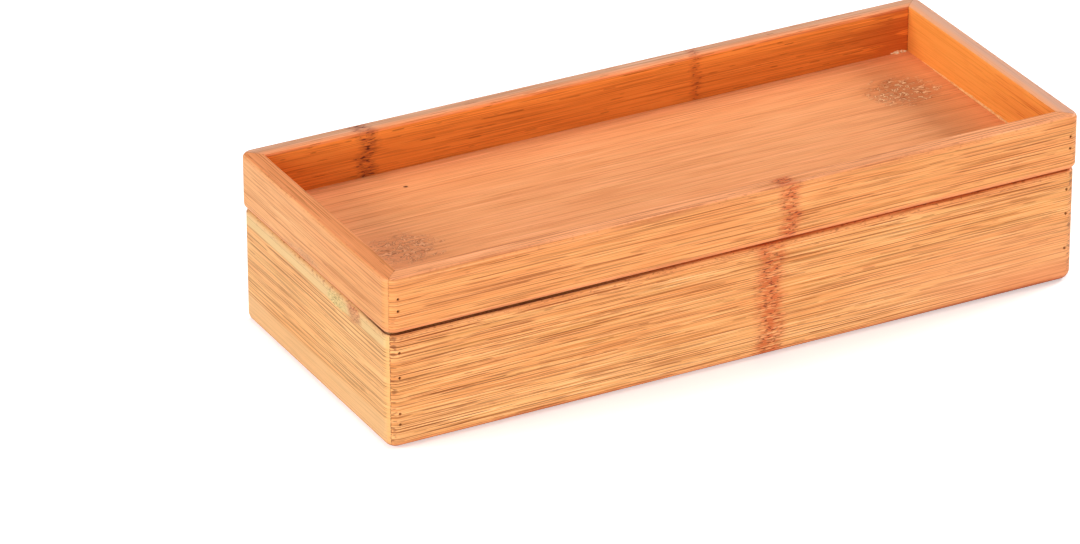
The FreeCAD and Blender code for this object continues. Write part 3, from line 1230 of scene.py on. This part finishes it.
@dataclass(frozen=True)
class TrayLid(Assembly):
    """The lid that is also a tray: four rails, a floor panel and the brads. Millimetres."""

    floor: float
    prefix: ClassVar[str] = "tray"
    part: ClassVar[str] = "rail"
    rim: ClassVar[float] = 1.0  # how far down from the top the rim's own tone reaches

    def rim_tone(self, colour: Colour, share: float = 0.8) -> Zone:
        """The rim's level top face."""
        spans = (Span(Axis.Z, low=self.high - self.rim, soft=0.3), Span(Axis.LEVEL, low=0.8, soft=0.1))
        return Zone(spans, colour, share)

    def seam_shade(self) -> tuple[Layer, ...]:
        """Painted shade along the front seam: a dark line above the gap and a dark underside of the front
        rail on the left part, the same painted warm orange, as bounce light in the gap, on the right part.

        Returns:
            The layers.
        """
        line = Span(Axis.Z, high=self.low + 0.28, soft=0.12)
        broad = Span(Axis.Z, high=self.low + 0.46, soft=0.14)
        front, left, right = self.front(), self.left_part(), self.right_part()
        under = Span(Axis.LEVEL, high=-0.9, soft=0.05)
        # left part: painted shade, dark; right part: painted bounce light, warm orange
        return (Zone((broad, front, left), srgb(96, 0, 0), 0.95),
                Zone((line, front, right), srgb(232, 112, 10), 0.6),
                Zone((under, front, left), srgb(70, 0, 0), 0.95),
                Zone((under, front, right), srgb(240, 110, 10), 0.8))

    def half(self, axis: Axis) -> float:
        """Half of the lid's depth or length."""
        return self.half_depth if axis is Axis.Y else self.half_length

    def rim_inside(self, axis: Axis, colour: Colour, share: float = 0.8) -> Zone:
        """The inner part of the back or right rail's rim, painted a warmer orange towards the inner arris.
        """
        inner = Span(axis, high=self.half(axis) - self.wall * 0.68, soft=1.3)
        return Zone((Span(Axis.Z, low=self.high - self.rim, soft=0.3), inner), colour, share)

    def inner(self, axis: Axis) -> Span:
        """The back or right rail's inner face."""
        return Span(axis, high=self.half(axis) - self.wall + 0.2, soft=0.15)

    def edges(self, share: float = 0.3, nick_share: float = 0.0) -> tuple[Layer, ...]:
        """What all four rails have at their outer edges.

        Args:
            share: How strongly the arrises are worn.
            nick_share: How strongly the nicks beside the joint show.

        Returns:
            The layers.
        """
        # blush: painted shade, a pinkish band along the rails' lower edge above the seam
        blush = Zone((Span(Axis.Z, high=self.low + 1.7, soft=0.7),), srgb(230, 138, 98), 0.4, ragged=0.8)
        rubbed = Rubbed(self, srgb(238, 150, 100), srgb(176, 88, 50), share, crumb_share=0.3, reach=2.2)
        mitre = self.mitre(srgb(140, 70, 30), 0.45, self.high - self.rim, nick_share)
        return (blush, rubbed, *self.seam_shade(), mitre)

    def front_rail(self) -> Bamboo:
        """Front rail, with a node right of its middle.

        Returns:
            The finish.
        """
        node = Ring(at=16.6, width=6.2, blush=srgb(206, 90, 40), speck=NODE_BROWN,
                    share=0.82, speck_share=0.9)
        return Bamboo("bamboo_tray_front", Grain.ALONG_X, 11.0, srgb(243, 160, 93), srgb(240, 174, 104),
                      srgb(240, 148, 84), dash_cover=0.2, soft_share=0.15, fine_share=0.9,
                      tones=(self.rim_tone(srgb(255, 170, 116), 0.8),), layers=(node, *self.edges(0.3, 0.4)))

    def back_rail(self) -> Bamboo:
        """Back rail, whose inner face shows two nodes, under a deeper painted orange and painted shade
        towards its right end.

        Returns:
            The finish.
        """
        strong = Ring(at=-79.0, width=6.0, blush=srgb(150, 64, 42), speck=srgb(74, 28, 22),
                      share=0.6, speck_share=0.9)
        inside = self.inner(Axis.Y)
        # shaded: painted shade, the inner face darker towards its right end
        shaded = Zone((inside, Span(Axis.X, low=self.half_length - 26.0, soft=22.0)), srgb(184, 80, 32),
                      0.6, ragged=6.0)
        weak = Ring(at=36.5, width=3.6, blush=srgb(190, 76, 34), speck=srgb(96, 34, 20),
                    share=0.4, speck_share=0.6, seed=4.0)
        return Bamboo("bamboo_tray_back", Grain.ALONG_X, 12.0, srgb(242, 162, 94), srgb(238, 172, 98),
                      srgb(238, 150, 86), fibre=srgb(158, 66, 8), soft_share=0.3, fine_share=0.6,
                      line_share=0.42, hair_share=0.3, dash_share=0.6,
                      # inner face: deeper orange, partly the bamboo's tone, partly painted shade of a wall
                      # lit only by light bounced off the floor
                      tones=(Zone((inside,), srgb(254, 150, 61), 0.92),
                             self.rim_tone(srgb(216, 166, 136), 0.85),
                             self.rim_inside(Axis.Y, srgb(255, 160, 104))),
                      layers=(shaded, strong, weak, *self.edges()))

    def left_rail(self) -> Bamboo:
        """Left rail, paler towards the back.

        Returns:
            The finish.
        """
        back = Zone((Span(Axis.Y, low=0.0, soft=30.0),), srgb(240, 178, 120), 0.5)
        bare = Zone((Span(Axis.Y, high=self.bare - self.half_depth, soft=0.5),
                     Span(Axis.Z, high=self.high - self.rim, soft=0.6)),
                    srgb(234, 160, 98), 0.65, ragged=0.6)
        # a greyish-brown patch along the rail just above the seam
        grey_brown_patch = Patch(middle=6.0, row=self.low + 2.8, long=14.0, wide=1.6,
                       tone=srgb(206, 146, 100), mark=srgb(214, 152, 104), dot=srgb(150, 96, 62),
                       share=0.5, mark_share=0.3, dot_share=0.4)
        return Bamboo("bamboo_tray_left", Grain.ALONG_Y, 13.0, srgb(232, 160, 98), srgb(232, 170, 108),
                      srgb(230, 149, 88), fibre=srgb(160, 84, 20), dash_cover=0.1, line_cover=0.6,
                      line_share=0.6, hair_share=0.3, soft_share=0.25, fine_share=0.4,
                      tones=(back, self.rim_tone(srgb(240, 148, 90), 0.85)),
                      layers=(grey_brown_patch, bare, *self.edges()))

    def right_rail(self) -> Bamboo:
        """Right rail, with a pale rim and an orange inner face that darkens to the front; the inner face's
        saturated orange is partly painted bounce light.

        Returns:
            The finish.
        """
        inside = self.inner(Axis.X)
        front_end = Zone((inside, Span(Axis.Y, high=-18.0, soft=22.0)), srgb(236, 132, 58), 0.4, ragged=4.0)
        streaks = Strands((inside, Span(Axis.Y, high=0.0, soft=30.0)), srgb(196, 84, 20), 0.65, length=18.0)
        return Bamboo("bamboo_tray_right", Grain.ALONG_Y, 14.0, srgb(242, 168, 102), srgb(240, 178, 106),
                      srgb(240, 154, 90), soft_share=0.3, fine_share=0.4,
                      layers=(self.rim_tone(srgb(220, 171, 150), 0.78),
                              self.rim_inside(Axis.X, srgb(252, 168, 112), 0.7),
                              # inner face: saturated orange, partly the bamboo's tone, partly painted bounce
                              # light from the orange floor and walls
                              Zone((inside,), srgb(255, 163, 64), 0.74), front_end, streaks,
                              *self.edges()))

    def floor_panel(self) -> Bamboo:
        """Tray floor, smoother than the rails, with two planed node patches and painted shade at both ends.

        Returns:
            The finish.
        """
        # left_end: slightly darker and pinker near the left rail, painted shade
        left_end = Zone((Span(Axis.X, high=-92.0, soft=18.0),), srgb(240, 160, 114), 0.25)
        # painted shadow of the right rail, deepening the rendered one at the floor's right end
        right_end_shadow = Zone((Span(Axis.X, low=94.0, soft=14.0),), srgb(220, 122, 66), 0.38)
        near = Patch(middle=-91.5, row=-5.5, long=13.5, wide=12.5,
                     tone=srgb(218, 134, 92), mark=srgb(248, 184, 136), dot=srgb(146, 70, 32),
                     share=0.28, mark_share=0.7, dot_share=0.15)
        # far: the planed patch, its tone darkened, partly painted shadow of the right rail
        far = Patch(middle=97.0, row=18.5, long=14.0, wide=12.0,
                    tone=srgb(206, 118, 70), mark=srgb(255, 212, 160), dot=srgb(180, 94, 48),
                    share=0.5, mark_share=0.9, dot_share=0.05, seed=5.0)
        dot = Patch(middle=-72.1, row=32.0, long=0.9, wide=0.8,
                    tone=srgb(70, 24, 10), mark=srgb(70, 24, 10), dot=srgb(60, 20, 10),
                    share=0.9)
        return Bamboo("bamboo_tray_floor", Grain.ALONG_X, 15.0, srgb(248, 166, 109), srgb(249, 175, 117),
                      srgb(241, 154, 99), fibre=srgb(180, 90, 30), line_share=0.4, dash_share=0.3,
                      line_cover=0.4, dash_cover=0.1, hair_share=0.3, soft_share=0.3, fine_share=0.5,
                      tones=(left_end, right_end_shadow), layers=(near, far, dot))

    def finishes(self) -> dict[str, Bamboo]:
        """Name the finish of each rail and of the floor.

        Returns:
            The finishes, by the name of the piece.
        """
        return {"front_rail": self.front_rail(), "back_rail": self.back_rail(),
                "left_rail": self.left_rail(), "right_rail": self.right_rail(),
                "floor_panel": self.floor_panel()}


# Glue


def trim(mesh: bmesh.types.BMesh, point: Vector, outwards: Vector) -> None:
    """Cut off what lies past a plane and close the cut.

    Args:
        mesh: The mesh that is cut.
        point: A point of the plane.
        outwards: The way to the side that is cut off.
    """
    parts = [*mesh.verts, *mesh.edges, *mesh.faces]
    cut = bmesh.ops.bisect_plane(mesh, geom=parts, plane_co=point, plane_no=outwards, clear_outer=True)
    rims = [part for part in cut["geom_cut"] if isinstance(part, bmesh.types.BMEdge)]
    bmesh.ops.holes_fill(mesh, edges=rims, sides=0)


def finish_piece(name: str, mesh: bmesh.types.BMesh, material: Material) -> None:
    """Turn a mesh built in millimetres into a piece that rides on the lid.

    Args:
        name: The piece's name.
        mesh: Its mesh, which is freed.
        material: Its finish.
    """
    bmesh.ops.recalc_face_normals(mesh, faces=mesh.faces)
    bmesh.ops.scale(mesh, vec=(MM, MM, MM), verts=mesh.verts)
    data = bpy.data.meshes.new(name)
    mesh.to_mesh(data)
    mesh.free()
    data.shade_smooth()
    data.materials.append(material)
    piece = bpy.data.objects.new(name, data)
    bpy.context.scene.collection.objects.link(piece)
    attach(piece, "tray_lid")
    LOG.info("%s wears %s and has %d faces", name, material.name, len(data.polygons))


@dataclass(frozen=True)
class GlueBead:
    """Squeezed-out glue left in the tray's back right corner. Millimetres."""

    corner: Vector
    lumps: tuple[tuple[float, float, float], ...] = (
        (5.4, 0.9, 0.65), (3.9, 1.3, 0.85), (2.3, 1.1, 0.8), (1.0, 0.8, 0.55))
    stretch: Vector = Vector((1.0, 0.62, 0.8))
    unrest: float = 0.28
    pace: float = 1.3
    rounds: int = 4
    sink: float = 0.08

    @classmethod
    def beside(cls, lid: TrayLid) -> "GlueBead":
        """Place the bead where the lid's back and right rails meet its floor."""
        return cls(Vector((lid.half_length - lid.wall, lid.half_depth - lid.wall, lid.floor)))

    def build(self, material: Material) -> None:
        """Build a row of lumps that run into each other, flat against floor and rail.

        Args:
            material: The glue's finish.
        """
        mesh = bmesh.new()
        for back_off, size, rise in self.lumps:
            place = self.corner + Vector((-back_off, -self.sink, self.sink))
            made = bmesh.ops.create_icosphere(mesh, subdivisions=self.rounds, radius=1.0)["verts"]
            spread = (size * self.stretch.x, size * self.stretch.y, rise * self.stretch.z)
            bmesh.ops.scale(mesh, vec=spread, verts=made)
            bmesh.ops.translate(mesh, vec=place, verts=made)
            for vert in made:
                away = (vert.co - place).normalized()
                vert.co += away * noise.noise(vert.co * self.pace) * self.unrest
        trim(mesh, self.corner - UP * self.sink, -UP)
        trim(mesh, self.corner + BACK * self.sink, BACK)
        finish_piece("glue_bead", mesh, material)


@dataclass(frozen=True)
class GlueLine:
    """A thin uneven fillet of glue between the tray's floor and its right rail. Millimetres."""

    start: Vector
    end: Vector
    radius: float = 0.55
    least: float = 0.12
    step: float = 0.5
    sides: int = 10
    sink: float = 0.06
    tapers: tuple[float, float] = (8.0, 2.5)
    usual: float = 0.75
    thin: float = 0.1
    waves: tuple[tuple[float, float, float], ...] = ((0.5, 0.35, 0.0), (0.3, 1.3, 3.0))

    @classmethod
    def beside(cls, lid: TrayLid) -> "GlueLine":
        """Place the fillet along the right rail's foot, clear of both ends."""
        wall, side = lid.half_length - lid.wall, lid.half_depth - lid.wall
        return cls(Vector((wall, 1.0 - side, lid.floor)), Vector((wall, side - 9.0, lid.floor)))

    def thickness(self, y: float) -> float:
        """How far the glue reaches at a place along the rail, thinner towards its ends.

        Args:
            y: The place.

        Returns:
            The reach, from two waves of noise that each have a height, a pace and a seed.
        """
        share = (y - self.start.y) / (self.end.y - self.start.y)
        taper = min(1.0, self.tapers[0] * share, self.tapers[1] * (1.0 - share))
        waves = (high * noise.noise(Vector((seed, y * pace, 0.0))) for high, pace, seed in self.waves)
        return self.least + self.radius * max(0.0, taper) * max(self.thin, self.usual + sum(waves))

    def build(self, material: Material) -> None:
        """Sweep a round section along the junction and keep the quarter that shows.

        Args:
            material: The glue's finish.
        """
        mesh = bmesh.new()
        upright = Matrix.Translation(self.start) @ Matrix.Rotation(math.radians(90), 4, "X")
        ring = bmesh.ops.create_circle(mesh, cap_ends=True, segments=self.sides, radius=1.0,
                                       matrix=upright)["verts"]
        edges = list(mesh.edges)
        size = 1.0
        middle = self.start.copy()
        while middle.y < self.end.y:
            wanted = self.thickness(middle.y)
            bmesh.ops.scale(mesh, vec=(wanted / size,) * 3, verts=ring, space=Matrix.Translation(-middle))
            size = wanted
            grown = bmesh.ops.extrude_edge_only(mesh, edges=edges)["geom"]
            ring = [part for part in grown if isinstance(part, bmesh.types.BMVert)]
            edges = [part for part in grown if isinstance(part, bmesh.types.BMEdge) and part.is_boundary]
            bmesh.ops.translate(mesh, vec=BACK * self.step, verts=ring)
            middle += BACK * self.step
        bmesh.ops.holes_fill(mesh, edges=edges, sides=0)
        trim(mesh, self.start - UP * self.sink, -UP)
        trim(mesh, self.start + RIGHT * self.sink, RIGHT)
        finish_piece("glue_line", mesh, material)


# Studio


def bearing(azimuth: float, elevation: float) -> Vector:
    """Way from the box to what is seen at an azimuth and an elevation, in degrees."""
    turn, rise = math.radians(azimuth), math.radians(elevation)
    return Vector((math.sin(turn) * math.cos(rise), -math.cos(turn) * math.cos(rise), math.sin(rise)))


@dataclass(frozen=True)
class Lamp:
    """One soft box, aimed at the box on the table."""

    name: str
    azimuth: float
    elevation: float
    distance: float
    width: float
    height: float
    power: float

    def build(self, target: Vector) -> None:
        """Hang the lamp and aim it.

        Args:
            target: The point it shines at, in metres.
        """
        light = bpy.data.lights.new(self.name, "AREA")
        light.shape = "RECTANGLE"
        light.size = self.width
        light.size_y = self.height
        light.energy = self.power
        away = bearing(self.azimuth, self.elevation)
        lamp = bpy.data.objects.new(self.name, light)
        lamp.location = target + away * self.distance
        lamp.rotation_mode = "QUATERNION"
        lamp.rotation_quaternion = (-away).to_track_quat("-Z", "Y")
        bpy.context.scene.collection.objects.link(lamp)


@dataclass(frozen=True)
class Studio:
    """White table, soft boxes and camera."""

    azimuth: float = -27.926
    elevation: float = 26.888
    roll: float = -0.157
    distance: float = 2.088225
    aside: float = 0.037606
    above: float = 0.008122
    lens: float = 224.30
    sensor: float = 36.0
    sight: float = 100.0
    ambient: float = 0.07
    mirrored: float = 0.4
    table_size: float = 20.0
    table_tone: Colour = (0.93, 0.93, 0.93, 1.0)
    table_roughness: float = 0.9
    table_reflection: float = 0.1
    table_lift: float = 0.45
    aim: float = 0.03
    lamps: tuple[Lamp, ...] = (  # azimuth, elevation, distance, width, height and power
        Lamp("key", 100, 28, 1.6, 0.45, 0.45, 16.5),
        Lamp("above", 0, 90, 1.6, 1.0, 1.0, 10.2),
        Lamp("left", -97, 24, 1.8, 0.9, 0.5, 17.6),
        Lamp("low_front", -8, 2.2, 1.8, 1.8, 0.13, 14.2),
        Lamp("fill", -30, 12, 1.8, 1.6, 0.5, 8.7),
    )

    def build(self) -> None:
        """Set up the camera, the table and the light."""
        self.build_camera()
        self.build_table()
        self.build_sky()
        for lamp in self.lamps:
            lamp.build(UP * self.aim)

    def build_camera(self) -> None:
        """Aim a long lens down at the front left corner."""
        roll = math.radians(self.roll)
        back = bearing(self.azimuth, self.elevation)
        right = (-back).cross(UP).normalized()
        up = right.cross(-back)
        level_right = right * math.cos(roll) + up * math.sin(roll)
        level_up = up * math.cos(roll) - right * math.sin(roll)
        data = bpy.data.cameras.new("camera")
        data.lens = self.lens
        data.sensor_width = self.sensor
        data.clip_end = self.sight
        camera = bpy.data.objects.new("camera", data)
        place = back * self.distance - level_right * self.aside + level_up * self.above
        turned = Matrix((level_right, level_up, back)).transposed()
        camera.matrix_world = Matrix.Translation(place) @ turned.to_4x4()
        bpy.context.scene.collection.objects.link(camera)
        bpy.context.scene.camera = camera

    def build_table(self) -> None:
        """Lay a white table top under the box. To the camera it is lifted to white."""
        bpy.ops.mesh.primitive_plane_add(size=self.table_size)
        table = bpy.context.object
        table.name = "table"
        material, w, shader = new_material("table_white")
        w.fill(shader, {"Base Color": self.table_tone, "Roughness": self.table_roughness,
                        "Specular IOR Level": self.table_reflection})
        path = w.add("LightPath", {}).outputs
        lift = w.add("Emission", {"Strength": w.times(path["Is Camera Ray"], self.table_lift)})
        both = w.add("AddShader", {0: shader.outputs[0], 1: lift.outputs[0]})
        w.feed(material.node_tree.nodes["Material Output"].inputs["Surface"], both.outputs[0])
        table.data.materials.append(material)

    def build_sky(self) -> None:
        """Set the sky: white to the camera, pale in reflections, faint to the box."""
        world = bpy.data.worlds.new("studio")
        bpy.context.scene.world = world
        world.use_nodes = True
        w = Wiring(world.node_tree)
        path = w.add("LightPath", {}).outputs
        to_camera = w.times(path["Is Camera Ray"], 1.0 - self.ambient)
        to_gloss = w.times(path["Is Glossy Ray"], self.mirrored - self.ambient)
        level = w.plus(self.ambient, to_camera, to_gloss)
        w.fill(world.node_tree.nodes["Background"], {"Color": (1, 1, 1, 1), "Strength": level})


def main() -> None:
    """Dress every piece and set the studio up."""
    logging.basicConfig(level=logging.INFO, format="%(name)s: %(message)s")
    bpy.context.scene.view_settings.view_transform = "Standard"
    steel = DullSteel().make()
    Base.measured().dress(steel)
    lid = TrayLid.measured(floor=extent("tray_floor_panel")[1].z)
    lid.dress(steel)
    glue = DriedGlue().make()
    GlueBead.beside(lid).build(glue)
    thin_glue = DriedGlue("thin_glue", srgb(240, 166, 96), srgb(250, 192, 126), gloss=0.1)
    GlueLine.beside(lid).build(thin_glue.make())
    Studio().build()


if __name__ == "__main__":
    main()
